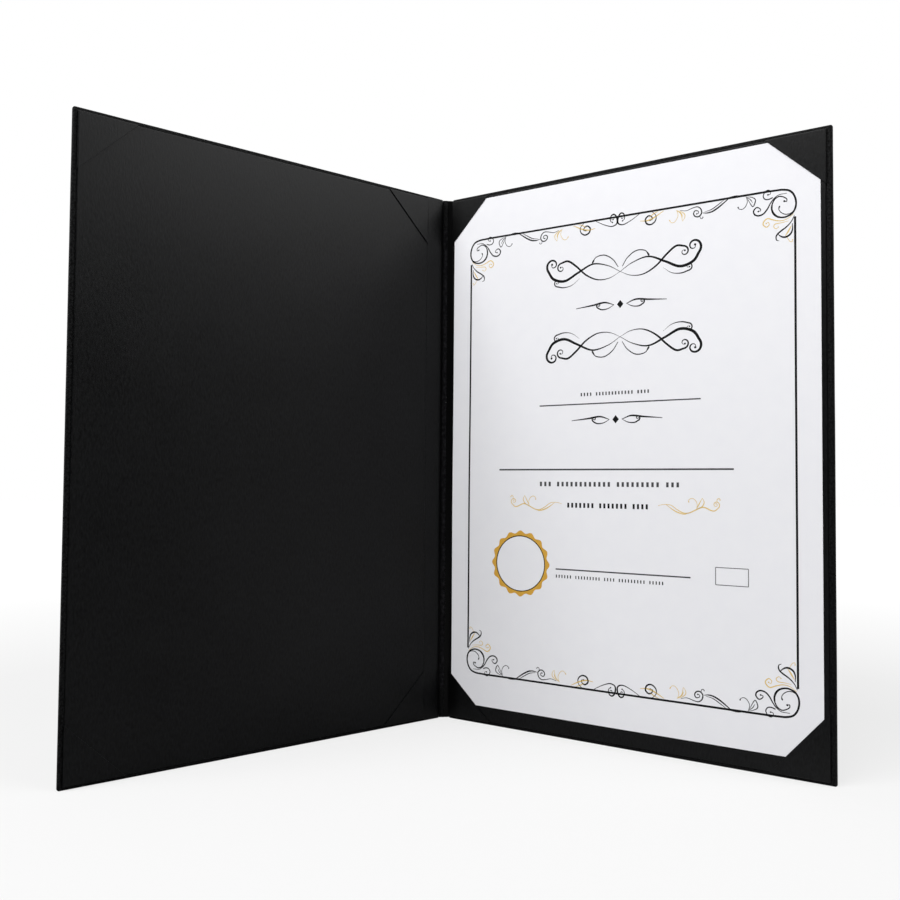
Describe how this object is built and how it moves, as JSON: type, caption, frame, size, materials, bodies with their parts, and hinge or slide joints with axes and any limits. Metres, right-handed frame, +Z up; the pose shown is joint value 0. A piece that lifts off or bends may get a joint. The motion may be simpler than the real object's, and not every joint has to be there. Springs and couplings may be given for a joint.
{
  "type": "certificate folder",
  "caption": "Black leatherette certificate folder standing open in a V, with hinged covers, a narrow spine, corner pockets inside and a printed sheet in the back cover.",
  "frame": {"origin": "middle of the standing folder's footprint, on the surface that it stands on", "axes": "+Z up along the spine, -Y towards the viewer where the V opens, +X towards the back cover that holds the sheet"},
  "size_m": [0.3554, 0.132, 0.3095],
  "materials": {
    "leatherette": "black grained leatherette, low sheen",
    "greyboard": "grey bookbinding board",
    "lining_cloth": "black woven lining, matt",
    "liner_card": "black card",
    "leather_paper": "black leather-grained paper, low sheen",
    "pocket_paper": "black leather-grained paper, low sheen",
    "certificate_paper": "smooth white paper with black and gold print"
  },
  "bodies": {
    "back_cover": {"back_wrap": "leatherette", "back_board": "greyboard", "back_liner": "liner_card", "back_facing": "leather_paper", "back_pocket_head_hinge": "pocket_paper", "back_pocket_head_fore": "pocket_paper", "back_pocket_tail_hinge": "pocket_paper", "back_pocket_tail_fore": "pocket_paper"},
    "spine": {"spine_wrap": "leatherette", "spine_lining": "lining_cloth"},
    "front_cover": {"front_wrap": "leatherette", "front_board": "greyboard", "front_hinge_lining": "leather_paper", "front_liner": "liner_card", "front_facing": "leather_paper", "front_pocket_head_hinge": "pocket_paper", "front_pocket_head_fore": "pocket_paper", "front_pocket_tail_hinge": "pocket_paper", "front_pocket_tail_fore": "pocket_paper"},
    "certificate": {"certificate": "certificate_paper"}
  },
  "joints": [
    {"name": "back_hinge", "type": "hinge", "parent": "back_cover", "child": "spine", "pos_m": [0.00391, 0.06576, 0.15475], "axis": [0, 0, 1], "range_deg": [-36.75, 53.25]},
    {"name": "front_hinge", "type": "hinge", "parent": "spine", "child": "front_cover", "pos_m": [-0.00391, 0.06576, 0.15475], "axis": [0, 0, 1], "range_deg": [-36.75, 53.25]},
    {"name": "sheet_shift", "type": "slide", "parent": "back_cover", "child": "certificate", "axis": [0, 0, 1], "range_m": [-0.0075, 0.0005]}
  ]
}
